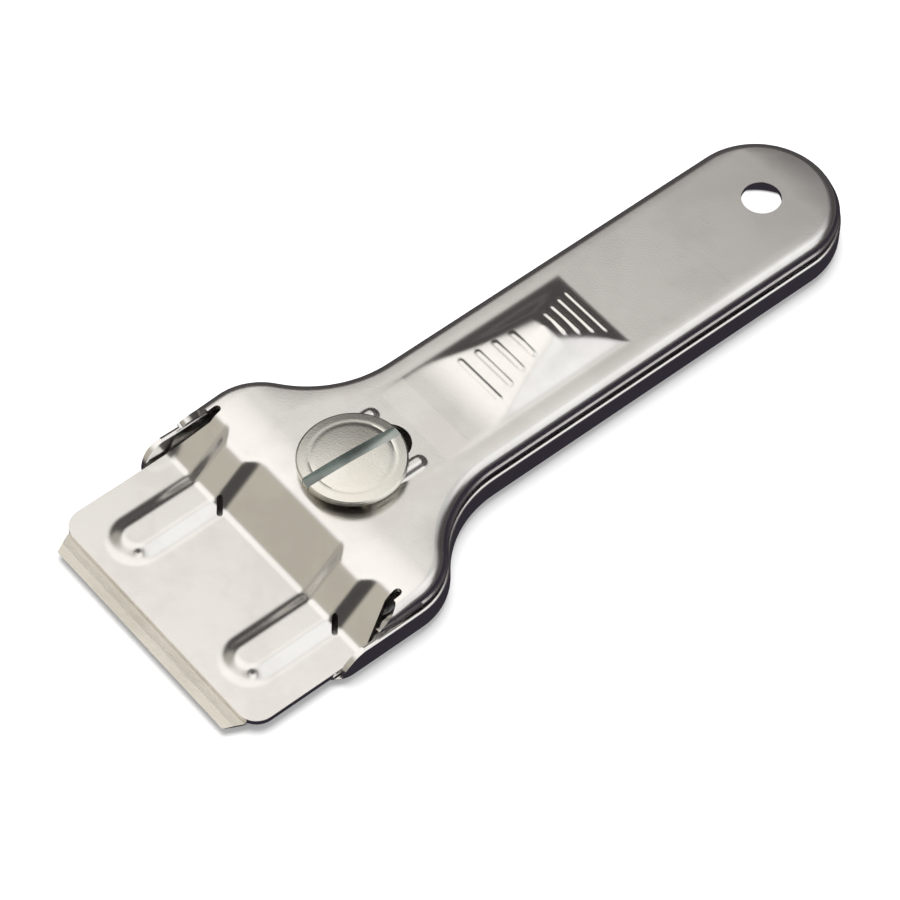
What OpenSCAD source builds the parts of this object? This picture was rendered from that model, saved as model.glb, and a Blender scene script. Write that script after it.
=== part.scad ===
// Razor blade scraper: a pressed cover slides on a pressed tray and clamps a flat blade under one coin screw.
// Millimetres, +Z up. The cutting edge points to -Y and the hanging hole is at the +Y end.
// Places along the tool are measured from the cutting edge, and centred() moves them onto the origin,
// which lies under the middle of the whole tool, on the surface that it rests on.

/* [Overall] */
// Height of the cover's flat top above the tray's underside
shell_h = 9; // [8.8:0.1:10]
// Width of the cover along the handle
handle_w = 24.3; // [23.5:0.1:26]
// How far the cover's head reaches past the blade on each side
head_margin = 2.6; // [2.4:0.1:3]
// Distance from the cutting edge to the centre of the handle's round end
end_y = 118; // [116:0.5:126]

/* [Sheet metal] */
// Thickness of the pressed sheet
sheet_t = 0.9; // [0.8:0.05:1]
// Outside radius of the cover's rolled edge
cover_roll = 1.8; // [1.5:0.1:2]
// Outside radius of the tray's rolled edge
tray_roll = 2.2; // [1.8:0.1:2.3]
// How far the tray's wall stands outside the cover's wall
tray_margin = 0.6; // [0.55:0.05:0.75]
// Depth of the cover from its flat top to the lower edge of its wall
cover_depth = 2.7; // [2.6:0.05:3]
// Parting gap between the cover's wall and the tray's rim
rim_gap = 0.9; // [0.6:0.05:1.1]
// How far the cover's lower edge flares out
lip_out = 0.2; // [0.1:0.05:0.25]
// Height of the flared lip
lip_h = 0.8; // [0.5:0.1:0.9]

/* [Outline] */
// Distance from the cutting edge to where the head's straight sides end
shoulder_y = 32.5; // [32:0.5:34]
// Radius of the head's shoulders
shoulder_r = 10; // [9:0.5:11]
// Distance from the cutting edge to the tray's front edge
tray_front = 15.5; // [15:0.5:16.5]
// Plan radius of the tray's front corners
tray_corner_r = 4.5; // [4.2:0.1:5]
// Height of the tray's rim round its front corners
tray_corner_h = 1.45; // [1.2:0.05:1.45]
// Side-view radius of the step down of the tray's rim
rim_drop_r = 4.4; // [4:0.1:4.6]
// Distance from the cutting edge to the centre of that radius
rim_drop_y = 22.5; // [22:0.5:23.5]

/* [Clamp plate] */
// How far the clamp plate reaches past the blade on each side
plate_margin = 1.9; // [1.2:0.1:1.9]
// Bare blade left in front of the clamp plate
plate_setback = 2.9; // [2.4:0.1:3.4]
// Plan radius of the clamp plate's front corners
plate_corner_r = 3.2; // [2.5:0.1:4]
// Distance from the cutting edge to the foot of the step
step_y = 22.5; // [22.3:0.1:23]
// Length along the tool over which the step rises
step_run = 7.9; // [7.5:0.1:8.5]
// Bend radius on the hollow side of each bend
bend_r = 1.3; // [1:0.1:1.6]
// How far the sheet at the top of the step stays inside the blade's width on each side
step_inset = 0.6; // [0:0.1:1.4]
// Distance from the cutting edge to the tip of the side tongues
tongue_y = 24.3; // [24:0.1:25]

/* [Channels] */
// Distance of each channel's centre line from the middle, as a share of the blade's width
channel_share = 0.32; // [0.315:0.005:0.33]
// Width of a channel at its foot
channel_w = 8.3; // [7.8:0.1:8.6]
// Width of a channel across its flat top
channel_top_w = 4.3; // [4:0.1:4.6]
// Height of a channel above the sheet
channel_h = 1.1; // [1.05:0.05:1.3]
// Distance from the cutting edge to the foot of a channel's nose
channel_nose_y = 5.8; // [5.4:0.1:6]
// Diameter of the punch mark beside each channel's nose
mark_d = 1.2; // [0.8:0.1:1.4]

/* [Blade] */
// Length of the cutting edge
edge_w = 39; // [38:0.1:39.4]
// How far the clipped front corners reach in from each side of the blade
clip_w = 1.4; // [1.1:0.1:1.6]
// Depth of the blade from its cutting edge to its back
blade_l = 18.7; // [18:0.1:19]
// Thickness of the blade
blade_t = 0.3; // [0.25:0.05:0.4]
// Depth of the ground bevels behind the cutting edge
bevel_l = 1.4; // [1:0.1:1.8]
// Length of the clipped front corners along the tool
clip_l = 2.8; // [2.2:0.1:3.2]

/* [Blade bed] */
// Thickness of the blade bed
bed_t = 0.5; // [0.45:0.05:0.6]
// Distance from the cutting edge to the front of the blade bed
bed_front = 3.6; // [3.5:0.1:4.5]
// Distance from the cutting edge to the back of the blade bed
bed_back = 47; // [46.5:0.5:48]
// How far the blade bed stays inside the blade's width on each side
bed_inset = 0.2; // [0.1:0.1:0.7]
// Diameter of the locating pegs
peg_d = 3; // [2.8:0.1:3.2]
// How far the locating pegs stand in front of the middle of the channels' round noses
peg_lead = 0.6; // [0.4:0.1:0.8]
// Height of the locating pegs above the blade
peg_h = 0.7; // [0.5:0.05:0.75]
// Diameter of a rivet's shank
rivet_d = 3; // [2.6:0.1:3.2]
// Diameter of a rivet's head
rivet_head_d = 5; // [4.6:0.1:5.2]
// Height of a rivet's head
rivet_head_h = 0.9; // [0.7:0.05:1]
// Distance of the rivets from the side of the head
rivet_inset = 7; // [6.5:0.1:7.5]
// Distance from the cutting edge to the rivets
rivet_y = 30.5; // [30:0.1:31]

/* [Clamp screw] */
// Distance from the cutting edge to the clamp screw
screw_y = 39; // [38.8:0.1:39.2]
// Diameter of the screw's head
head_d = 16.3; // [15.5:0.1:17]
// Thickness of the screw's head
head_t = 1.75; // [1.6:0.05:2]
// Chamfer round the underside of the screw's head
under_chamfer = 0.45; // [0.2:0.05:0.6]
// Chamfer round the top of the screw's head
head_chamfer = 0.25; // [0.15:0.05:0.35]
// Diameter of the screw's threaded shank
shank_d = 5.9; // [5.8:0.1:6]
// Width of the coin slot
coin_w = 1.8; // [1.6:0.1:2]
// Depth of the coin slot at the middle of the head
coin_depth = 1.3; // [1.1:0.05:1.4]
// Radius of the disc that cut the coin slot
coin_disc_r = 40; // [35:1:60]
// Direction of the coin slot from the tool's long axis
coin_angle = -4; // [-10:1:10]
// Diameter of the ring turned into the screw's head
dial_d = 12.4; // [11.6:0.1:13]
// Depth of that ring
dial_groove = 0.15; // [0.1:0.05:0.2]

/* [Threaded bush] */
// Outside diameter of the bush
bush_d = 12; // [11.6:0.1:12.4]
// Diameter of the bush's riveted spigot
spigot_d = 10.4; // [10.2:0.1:10.6]
// Diameter of the pocket for the retaining ring
pocket_d = 8.8; // [8.7:0.1:9]
// Height of the pocket above the tray's underside
pocket_h = 3; // [2.9:0.1:3.2]
// Outside diameter of the retaining ring
ring_d = 8.2; // [8:0.1:8.4]
// Thickness of the retaining ring
ring_t = 0.6; // [0.5:0.05:0.65]
// Height of the retaining ring above the tray's underside
ring_z = 1; // [0.9:0.05:1.1]
// Diameter of the groove that holds the retaining ring
groove_d = 4.4; // [4.2:0.1:4.6]

/* [Guide slot and rails] */
// Width of the guide slot in the cover
slot_w = 7; // [6.8:0.1:7.2]
// Distance from the screw to the centre of the slot's rear end
slot_travel = 6.6; // [6:0.1:7]
// Distance of each rail from the middle
rail_x = 5.5; // [5.4:0.05:5.6]
// Width of a rail
rail_w = 2.4; // [2.2:0.1:2.6]
// Height of a rail above the cover
rail_h = 1.05; // [0.9:0.05:1.1]
// Length of a rail in front of the screw
rail_front = 2.5; // [2:0.1:3]
// Length of a rail behind the screw
rail_back = 8.9; // [8.6:0.1:9.4]

/* [Thumb rest] */
// Distance from the cutting edge to the ridge of the thumb rest
ridge_y = 75.1; // [72:0.5:78]
// Length of the front ramp
front_ramp = 16.2; // [14:0.2:18]
// Length of the rear ramp
rear_ramp = 10; // [9.6:0.2:11]
// Height of the ridge above the cover
rest_h = 4.2; // [3.6:0.1:4.6]
// Width of the thumb rest at its foot
rest_w = 12.8; // [12:0.1:14]
// Width of the thumb rest at its ridge
ridge_w = 5.8; // [5:0.1:6.4]
// Distance from the ridge to the nearest grip rib on the front ramp
front_rib_first = 4.1; // [3.6:0.1:4.4]
// Spacing of the grip ribs on the front ramp
front_rib_pitch = 2.7; // [2.4:0.1:2.9]
// Distance from the ridge to the nearest grip rib on the rear ramp
rear_rib_first = 2.1; // [1.8:0.1:2.4]
// Spacing of the grip ribs on the rear ramp
rear_rib_pitch = 2.1; // [1.9:0.1:2.3]
// Number of grip ribs on each ramp
rib_count = 4; // [2:1:4]
// Width of a grip rib
rib_w = 1.3; // [1.1:0.1:1.4]
// Height of a grip rib above its ramp
rib_h = 0.35; // [0.25:0.05:0.4]

/* [Hanging hole] */
// Diameter of the hanging hole in the cover
hang_d = 6.2; // [5.6:0.1:6.3]
// How far the hanging hole lies behind the centre of the round end
hang_offset = 0.5; // [0.1:0.1:0.6]
// Distance that the cover slides forward over the blade
guard_travel = 4.5; // [4:0.1:4.5]
// How much wider the tray's hanging slot is than the hole above it
hang_ease = 1.6; // [1.4:0.1:1.6]
// Width of the flat seat round the tray's hanging slot
boss_seat = 0.8; // [0.75:0.05:0.85]
// Spread of the boss's flared wall for each unit of depth
boss_flare = 0.7; // [0.62:0.02:0.7]

/* [Hidden] */
$fn = 96;

// Overrun of every cut
over = 1;
// Clear space between pieces that slide on each other
slide_gap = 0.05;
// Clear space round pieces that are pressed or riveted into each other
seat_gap = 0.02;
// Clear space between pieces that pass each other without touching
free_gap = 0.3;
// How far the flat of a pressing laps over the strip of its swept edge
lap = 0.3;
quarter = 90;
arc_steps = 16;
bend_steps = 8;

blade_w = edge_w + clip_w * 2;
head_w = blade_w + head_margin * 2;
plate_w = blade_w + plate_margin * 2;
step_top_w = blade_w - step_inset * 2;
bed_w = blade_w - bed_inset * 2;
half_handle = handle_w / 2;
half_head = head_w / 2;
half_plate = plate_w / 2;
half_step = step_top_w / 2;
overall_l = end_y + half_handle + tray_margin;
rim_z = shell_h - cover_depth;
tray_rim_z = rim_z - rim_gap;
web_z = shell_h - sheet_t;

// The hollow neck meets the shoulder and the handle's side smoothly. The line between the centres of its arc
// and the shoulder's is the long side of a 3-4-5 triangle, which sets its radius
shoulder_x = half_head - shoulder_r;
centre_line = (half_head - half_handle) * 5 / 2;
neck_r = centre_line - shoulder_r;
neck_x = half_handle + neck_r;
neck_y = shoulder_y + centre_line * 4 / 5;
turn = atan2(4, 3);
corner_x = half_head + tray_margin - tray_corner_r;
corner_y = tray_front + tray_corner_r;

// Levels of the stacked pieces
bed_z = sheet_t;
blade_z = bed_z + bed_t;
plate_z = blade_z + blade_t + slide_gap;
plate_top = plate_z + sheet_t;
seat_z = web_z - slide_gap;
tail_z = slide_gap;
head_z = shell_h + rail_h + slide_gap;

// Step between the clamp plate and the flat of the cover
step_rise = shell_h - plate_top;
step_angle = atan2(step_rise, step_run);
step_len = norm([step_run, step_rise]);
crest_y = step_y + step_run;
crest_r = bend_r + sheet_t;
flat_y = crest_y + crest_r * tan(step_angle / 2);
step_end_y = flat_y + lap * 2;
tongue_x = half_step + sheet_t;
channel_x = blade_w * channel_share;
channel_slant = atan2(channel_h, (channel_w - channel_top_w) / 2);
slit_w = 0.9;
slit_l = 1.8;
slit_y = 22.25;
slit_side = 3.4;
slit_turn = 50;
mark_sink = 0.2;
mark_y = 8.25;
mark_side = 2.45;
mark_h = 0.7;

front_slant = atan2(rest_h, front_ramp);
rear_slant = atan2(rest_h, rear_ramp);
flank_slant = atan2(rest_h, (rest_w - ridge_w) / 2);
rib_inset = 1;
// A bead w wide and h high is part of a circle of radius w * w / (chord_share * h) + h / 2
chord_share = 8;

hang_y = end_y + hang_offset;
hang_seat_r = (hang_d + hang_ease) / 2 + boss_seat;
peg_y = channel_nose_y + channel_w / 2 - peg_lead;
rivet_x = half_head - rivet_inset;
blade_hole_d = peg_d + 0.2;
peg_tail_d = 2.2;
edge_land = 0.02;
bed_taper_y = 33;
bed_tail_w = 18;
rivet_tail_d = 4.2;
rivet_tail_h = 0.5;
bore_d = shank_d + slide_gap * 2;
ring_open_w = 3.6;
shank_z = 0.4;
shank_chamfer = 0.3;
ring_line_w = 0.3;
rail_hollow_w = 1;

cover_color = "silver";
tray_color = "darkgray";
blade_color = "wheat";
screw_color = "gainsboro";
steel_color = "lightslategray";

// Puts the tool's middle over the origin
module centred() {
    translate([0, -overall_l / 2, 0]) children();
}

module both_sides() {
    children();
    mirror([1, 0, 0]) children();
}

// Extrudes a side view, drawn with y as its x and z as its y, to the width w about the middle
module side_view(w) {
    rotate([quarter, 0, quarter]) translate([0, 0, -w / 2]) linear_extrude(w) children();
}

// Extrudes a front view, drawn with x as its x and z as its y, from y0 to y1
module front_view(y0, y1) {
    translate([0, y1, 0]) rotate([quarter, 0, 0]) linear_extrude(y1 - y0) children();
}

// Points along an arc, but for its first point where skip is 1
function arc(c, r, from, to, steps, skip = 0) = [
    for (i = [skip : steps]) let (a = from + (to - from) * i / steps) c + r * [cos(a), sin(a)]
];

// A closed outline from its right half, which must not touch the middle line but at its last point
function symmetric(points) = concat(
    points, [for (i = [len(points) - 1 : -1 : 0]) if (points[i][0] > 0) [-points[i][0], points[i][1]]]
);

// Plan outline moved outward by m, from y to the rear end, inside the true arcs by less than the lap
module plan(m, y) {
    polygon(symmetric(concat(
        [[half_head + m, y]],
        arc([shoulder_x, shoulder_y], shoulder_r + m, 0, turn, arc_steps),
        arc([neck_x, neck_y], neck_r - m, 180 + turn, 180, arc_steps, 1),
        arc([0, end_y], half_handle + m, 0, quarter, arc_steps)
    )));
}

// Cuts its children along the line between the centres of shoulder and neck, and keeps the side of the points
module beside_centre_line(points) {
    intersection() {
        children();
        translate([0, 0, -shell_h]) linear_extrude(shell_h * 3)
            polygon(concat([[shoulder_x, shoulder_y], [neck_x, neck_y]], points));
    }
}

// Carries a section round the right half of the outline: its x points outward and its y up. Shoulder and neck
// are swept past the line between their centres and cut there by one plane, so that they meet face to face
module half_sweep(m, y) {
    translate([half_head + m, 0, 0]) front_view(y, shoulder_y) children();
    beside_centre_line([[neck_x, 0], [shoulder_x, 0]])
        translate([shoulder_x, shoulder_y, 0]) rotate_extrude(angle = quarter)
            translate([shoulder_r + m, 0]) children();
    beside_centre_line([[neck_x, end_y], [0, end_y], [0, shoulder_y]])
        translate([neck_x, neck_y, 0]) rotate([0, 0, 180]) rotate_extrude(angle = quarter)
            translate([neck_r - m, 0]) mirror([1, 0]) children();
    translate([half_handle + m, 0, 0]) front_view(neck_y, end_y) children();
    translate([0, end_y, 0]) rotate_extrude(angle = quarter) translate([half_handle + m, 0]) children();
}

// Solid section below a rolled corner of radius r, drawn d inside the sheet's outer face
module roll_block(r, high, d) {
    core = r - d;
    translate([-r - lap * 2 - d, -d]) square([lap * 2 + d, high]);
    translate([-r, -d]) square([core, high - core]);
    intersection() {
        translate([-r, high - r]) circle(core);
        translate([-r, high - r]) square(core);
    }
}

// Section of a pressed edge of the given height: strip, roll and wall
module rolled_edge(r, high) {
    difference() {
        roll_block(r, high, 0);
        roll_block(r, high, sheet_t);
    }
}

module cover_edge() {
    translate([0, rim_z]) {
        rolled_edge(cover_roll, cover_depth);
        polygon([[-lip_out, 0], [lip_out, 0], [lip_out, lip_h - lip_out], [-lip_out, lip_h + lip_out]]);
    }
}

module tray_edge() {
    translate([0, tray_rim_z]) mirror([0, 1]) rolled_edge(tray_roll, tray_rim_z);
}

// Upright slab with two round ends
module obround(w, from_y, to_y, h) {
    translate([-w / 2, from_y, 0]) cube([w, to_y - from_y, h]);
    translate([0, from_y, 0]) cylinder(d = w, h = h);
    translate([0, to_y, 0]) cylinder(d = w, h = h);
}

// Everything below the surface that lies d under the outer face of plate, step and flat
module under_step(d) {
    foot_r = bend_r + d;
    top_r = crest_r - d;
    shift = d * tan(step_angle / 2);
    run = tan(step_angle / 2);
    foot = [step_y + shift - foot_r * run, plate_top - d + foot_r];
    top = [crest_y + shift + top_r * run, shell_h - d - top_r];
    front = plate_setback - d * over;
    back = step_end_y + d * over;
    side_view(head_w + d * over) polygon(concat(
        [[front, -over], [front, plate_top - d]],
        arc(foot, foot_r, -quarter, step_angle - quarter, bend_steps),
        arc(top, top_r, quarter + step_angle, quarter, bend_steps),
        [[back, shell_h - d], [back, -over]]
    ));
}

// Plan of the sheet that makes the clamp plate and the step
module step_plan() {
    polygon(symmetric(concat(
        [[half_step, step_end_y], [half_step, crest_y - cover_roll], [half_plate, step_y]],
        arc([half_plate - plate_corner_r, plate_setback + plate_corner_r], plate_corner_r, 0, -quarter, bend_steps)
    )));
}

// Trapezoid section of a channel's face that lies d under its outer face
module channel_section(d) {
    ease = d * tan(channel_slant / 2);
    foot = channel_w / 2 - ease;
    crown = channel_top_w / 2 - ease;
    polygon([
        [-foot, -d - over], [foot, -d - over], [foot, -d], [crown, channel_h - d],
        [-crown, channel_h - d], [-foot, -d]
    ]);
}

// Everything under one channel, from its round nose along the plate and up the step
module under_channel(d) {
    half = channel_w / 2;
    nose_y = channel_nose_y + half;
    translate([channel_x, 0, plate_top]) {
        front_view(nose_y, step_y + half) channel_section(d);
        translate([0, nose_y, 0]) rotate([0, 0, 180]) rotate_extrude(angle = 180) intersection() {
            channel_section(d);
            translate([0, -channel_w]) square(channel_w * 2);
        }
        intersection() {
            translate([0, step_y, 0]) rotate([step_angle, 0, 0]) front_view(-half, step_len + half) channel_section(d);
            translate([-half, 0, -plate_top]) cube([channel_w, step_end_y, shell_h - d]);
        }
    }
}

// Slanted slit, torn open where a channel's side is drawn up from the foot of the step
module slit() {
    translate([slit_side, slit_y, plate_z - over]) rotate([0, 0, slit_turn])
        obround(slit_w, -slit_l / 2, slit_l / 2, sheet_t + channel_h + over * 2);
}

// Punch mark in the side of a channel's nose
module punch_mark() {
    translate([mark_side, mark_y, plate_top + mark_h + mark_d / 2 - mark_sink]) sphere(d = mark_d);
}

// Everything under the thumb rest's face that lies d under its outer face
module under_thumb_rest(d) {
    drop = web_z - d * over;
    low = shell_h - d;
    top = shell_h + rest_h;
    ridge_shift = d * (1 / cos(front_slant) - 1 / cos(rear_slant)) / (tan(front_slant) + tan(rear_slant));
    front = ridge_y - front_ramp + d * tan(front_slant / 2);
    back = ridge_y + rear_ramp - d * tan(rear_slant / 2);
    foot = rest_w / 2 - d * tan(flank_slant / 2);
    crown = ridge_w / 2 - d * tan(flank_slant / 2);
    intersection() {
        side_view(rest_w) polygon([
            [front, drop], [front, low],
            [ridge_y + ridge_shift, top + ridge_shift * tan(front_slant) - d / cos(front_slant)],
            [back, low], [back, drop]
        ]);
        front_view(front, back) polygon([
            [-foot, drop], [-foot, low], [-crown, top - d], [crown, top - d], [foot, low], [foot, drop]
        ]);
    }
}

// A round bead across a ramp of length run, at the distance from_ridge down it
module grip_rib(from_ridge, run) {
    share = from_ridge / run;
    level = shell_h + rest_h * (1 - share);
    half = ridge_w / 2 + (rest_w - ridge_w) / 2 * share - rib_inset;
    bead_r = rib_w * rib_w / (chord_share * rib_h) + rib_h / 2;
    intersection() {
        side_view(half * 2) translate([0, level + rib_h - bead_r]) circle(bead_r);
        translate([-half, -rib_w, level - sheet_t / 2]) cube([half * 2, rib_w * 2, sheet_t + rib_h]);
    }
}

module grip_ribs() {
    for (i = [0 : rib_count - 1]) {
        front = front_rib_first + i * front_rib_pitch;
        rear = rear_rib_first + i * rear_rib_pitch;
        translate([0, ridge_y - front, 0]) grip_rib(front, front_ramp);
        translate([0, ridge_y + rear, 0]) grip_rib(rear, rear_ramp);
    }
}

// One rail w wide, between the heights z0 and z1
module rail(w, z0, z1) {
    translate([rail_x, 0, z0])
        obround(w, screw_y - rail_front + rail_w / 2, screw_y + rail_back - rail_w / 2, z1 - z0);
}

// What is cut away in front of the cover's flat, so that its walls end in two pointed tongues
module tongue_cut() {
    translate([-half_step, 0, -over]) cube([half_step * 2, flat_y + lap, shell_h + over * 2]);
    translate([-tongue_x, 0, -over]) cube([tongue_x * 2, crest_y, shell_h + over * 2]);
    side_view(head_w * 2) polygon([
        [0, rim_z - over], [tongue_y, rim_z - over], [tongue_y, rim_z],
        [tongue_y + cover_depth, shell_h - lip_h], [crest_y - cover_roll / 2, shell_h],
        [crest_y - cover_roll / 2, shell_h + over], [0, shell_h + over]
    ]);
}

module cover_shell() {
    difference() {
        union() {
            both_sides() half_sweep(0, tongue_y) cover_edge();
            translate([0, 0, web_z]) linear_extrude(sheet_t) plan(-cover_roll - lap, tongue_y);
        }
        tongue_cut();
    }
}

module step_sheet() {
    difference() {
        intersection() {
            union() {
                under_step(0);
                both_sides() under_channel(0);
            }
            linear_extrude(shell_h + over) step_plan();
        }
        under_step(sheet_t);
        both_sides() under_channel(sheet_t);
        for (x = [-channel_x, channel_x]) translate([x, 0, 0]) {
            punch_mark();
            slit();
        }
    }
}

module sliding_cover() {
    color(cover_color) centred() difference() {
        union() {
            cover_shell();
            step_sheet();
            under_thumb_rest(0);
            grip_ribs();
            both_sides() rail(rail_w, web_z, shell_h + rail_h);
        }
        under_thumb_rest(sheet_t);
        both_sides() rail(rail_hollow_w, web_z - over, shell_h + rail_h - sheet_t);
        translate([0, 0, web_z - over]) obround(slot_w, screw_y, screw_y + slot_travel, sheet_t + over * 2);
        translate([0, hang_y, web_z - over]) cylinder(d = hang_d, h = sheet_t + over * 2);
    }
}

// Flared boss under the hanging hole, d inside its outer face
module boss(d) {
    side = d * sqrt(1 + boss_flare * boss_flare);
    foot_z = sheet_t / 2 - d * over;
    top_z = seat_z - d;
    foot_r = hang_seat_r + boss_flare * (seat_z - foot_z) - side;
    top_r = hang_seat_r + boss_flare * d - side;
    for (y = [hang_y - guard_travel, hang_y])
        translate([0, y, foot_z]) cylinder(r1 = foot_r, r2 = top_r, h = top_z - foot_z);
    front_view(hang_y - guard_travel, hang_y)
        polygon([[-foot_r, foot_z], [foot_r, foot_z], [top_r, top_z], [-top_r, top_z]]);
}

// Flat front of the tray's floor, where the blade bed comes out
module front_floor(w) {
    both_sides() {
        intersection() {
            translate([0, tray_front]) square([w / 2, tray_corner_r * 2]);
            union() {
                translate([corner_x, corner_y]) circle(tray_corner_r);
                translate([0, tray_front]) square([corner_x, tray_corner_r * 2]);
                translate([0, corner_y]) square([w / 2, tray_corner_r]);
            }
        }
        translate([corner_x, corner_y]) circle(tray_corner_r - tray_roll - lap);
    }
}

// What is cut from the tray's rim, so that it steps down towards the blade and lets the bed and plate pass
module rim_cut(bed_pass_w) {
    difference() {
        translate([-head_w, 0, tray_corner_h]) cube([head_w * 2, rim_drop_y, shell_h]);
        translate([0, rim_drop_y, tray_rim_z - rim_drop_r]) rotate([0, quarter, 0])
            cylinder(r = rim_drop_r, h = head_w * 2, center = true);
    }
    translate([-bed_pass_w / 2, 0, sheet_t]) cube([bed_pass_w, corner_y + lap, shell_h]);
    translate([-half_plate - free_gap, 0, tray_corner_h]) cube([plate_w + free_gap * 2, corner_y + lap, shell_h]);
}

module tray() {
    bed_pass_w = bed_w + free_gap * 2;
    color(tray_color) centred() difference() {
        union() {
            difference() {
                both_sides() {
                    half_sweep(tray_margin, corner_y) tray_edge();
                    translate([corner_x, corner_y, 0]) rotate([0, 0, -quarter]) rotate_extrude(angle = quarter)
                        translate([tray_corner_r, 0]) tray_edge();
                }
                rim_cut(bed_pass_w);
            }
            linear_extrude(sheet_t) plan(tray_margin - tray_roll - lap, corner_y);
            linear_extrude(sheet_t) front_floor(bed_pass_w);
            boss(0);
        }
        boss(sheet_t);
        translate([0, 0, seat_z - sheet_t - over])
            obround(hang_d + hang_ease, hang_y - guard_travel, hang_y, sheet_t + over * 2);
        translate([0, screw_y, -over]) cylinder(d = spigot_d + seat_gap * 2, h = sheet_t + over * 2);
        both_sides() translate([rivet_x, rivet_y, 0]) rivet_tail(seat_gap);
    }
}

// Spread lower end of a rivet, with its shank; gap makes the hole for it
module rivet_tail(gap) {
    low = tail_z - gap * over / seat_gap;
    translate([0, 0, low]) cylinder(d = rivet_tail_d + gap * 2, h = tail_z - low + seat_gap);
    translate([0, 0, tail_z]) cylinder(d1 = rivet_tail_d + gap * 2, d2 = rivet_d + gap * 2, h = rivet_tail_h);
    translate([0, 0, tail_z]) cylinder(d = rivet_d + gap * 2, h = blade_z - tail_z + gap);
}

module rivet(x) {
    dome_r = rivet_head_d * rivet_head_d / (chord_share * rivet_head_h) + rivet_head_h / 2;
    color(steel_color) centred() translate([x, rivet_y, 0]) {
        rivet_tail(0);
        intersection() {
            translate([0, 0, blade_z + rivet_head_h - dome_r]) sphere(r = dome_r);
            translate([0, 0, blade_z]) cylinder(d = rivet_head_d, h = rivet_head_h);
        }
    }
}

module left_rivet() {
    rivet(-rivet_x);
}

module right_rivet() {
    rivet(rivet_x);
}

module peg(x) {
    color(steel_color) centred() translate([x, peg_y, 0]) {
        translate([0, 0, bed_z]) cylinder(d = peg_tail_d, h = bed_t);
        translate([0, 0, blade_z]) cylinder(d = peg_d, h = blade_t + peg_h);
    }
}

module left_peg() {
    peg(-channel_x);
}

module right_peg() {
    peg(channel_x);
}

module blade() {
    color(blade_color) centred() translate([0, 0, blade_z]) difference() {
        intersection() {
            linear_extrude(blade_t)
                polygon(symmetric([[edge_w / 2, 0], [blade_w / 2, clip_l], [blade_w / 2, blade_l]]));
            side_view(blade_w) polygon([
                [0, blade_t / 2 - edge_land], [bevel_l, 0], [blade_l, 0],
                [blade_l, blade_t], [bevel_l, blade_t], [0, blade_t / 2 + edge_land]
            ]);
        }
        both_sides() translate([channel_x, peg_y, -over]) cylinder(d = blade_hole_d, h = blade_t + over * 2);
    }
}

module blade_bed() {
    color(steel_color) centred() translate([0, 0, bed_z]) difference() {
        linear_extrude(bed_t) polygon(symmetric([
            [bed_w / 2, bed_front], [bed_w / 2, bed_taper_y], [bed_tail_w / 2, bed_back]
        ]));
        translate([0, screw_y, -over]) cylinder(d = spigot_d + seat_gap * 2, h = bed_t + over * 2);
        both_sides() translate([channel_x, peg_y, -over])
            cylinder(d = peg_tail_d + seat_gap * 2, h = bed_t + over * 2);
        both_sides() translate([rivet_x, rivet_y, -over]) cylinder(d = rivet_d + seat_gap * 2, h = bed_t + over * 2);
    }
}

module threaded_bush() {
    color(steel_color) centred() translate([0, screw_y, 0]) difference() {
        union() {
            translate([0, 0, blade_z]) cylinder(d = bush_d, h = seat_z - blade_z);
            translate([0, 0, tail_z]) cylinder(d = spigot_d, h = blade_z - tail_z);
        }
        translate([0, 0, -over]) cylinder(d = bore_d, h = shell_h + over);
        translate([0, 0, -over]) cylinder(d = pocket_d, h = pocket_h + over);
    }
}

module retaining_ring() {
    color(steel_color) centred() translate([0, screw_y, ring_z]) difference() {
        cylinder(d = ring_d, h = ring_t);
        translate([0, 0, -over]) cylinder(d = groove_d + slide_gap * 2, h = ring_t + over * 2);
        translate([0, -ring_open_w / 2, -over]) cube([ring_d, ring_open_w, ring_t + over * 2]);
    }
}

// Half section of the clamp screw, from its tip to the turned face of its head
module screw_section() {
    shank = shank_d / 2;
    groove = groove_d / 2;
    head = head_d / 2;
    top = head_z + head_t;
    polygon([
        [0, shank_z], [shank - shank_chamfer, shank_z], [shank, shank_z + shank_chamfer],
        [shank, ring_z - slide_gap], [groove, ring_z - slide_gap],
        [groove, ring_z + ring_t + slide_gap], [shank, ring_z + ring_t + slide_gap],
        [shank, head_z], [head - under_chamfer, head_z], [head, head_z + under_chamfer],
        [head, top - head_chamfer], [head - head_chamfer, top],
        [dial_d / 2 + ring_line_w, top], [dial_d / 2, top - dial_groove], [dial_d / 2 - ring_line_w, top], [0, top]
    ]);
}

module clamp_screw() {
    color(screw_color) centred() translate([0, screw_y, 0]) difference() {
        rotate_extrude() screw_section();
        rotate([0, 0, coin_angle]) translate([0, 0, head_z + head_t - coin_depth + coin_disc_r])
            rotate([0, quarter, 0]) cylinder(r = coin_disc_r, h = coin_w, center = true);
    }
}

sliding_cover();
tray();
blade();
blade_bed();
left_peg();
right_peg();
left_rivet();
right_rivet();
threaded_bush();
retaining_ring();
clamp_screw();
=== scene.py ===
"""Razor blade scraper of pressed steel, shown on a plain pale floor in soft studio light.

Metres, in the part's own frame: the cutting edge points to -Y, the hanging hole is at +Y, and +Z is up.
Sizes in the classes are millimetres, and places along the tool are measured from the cutting edge.
"""

import logging
import math
from dataclasses import dataclass, field
from enum import Enum
from typing import Callable, List, Optional, Sequence, Tuple

import bmesh
import bpy
from bmesh.types import BMEdge, BMesh, BMFace, BMVert
from bpy.types import Material, Modifier, Node, NodeSocket, NodeTree, Object, World
from mathutils import Matrix, Vector


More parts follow.
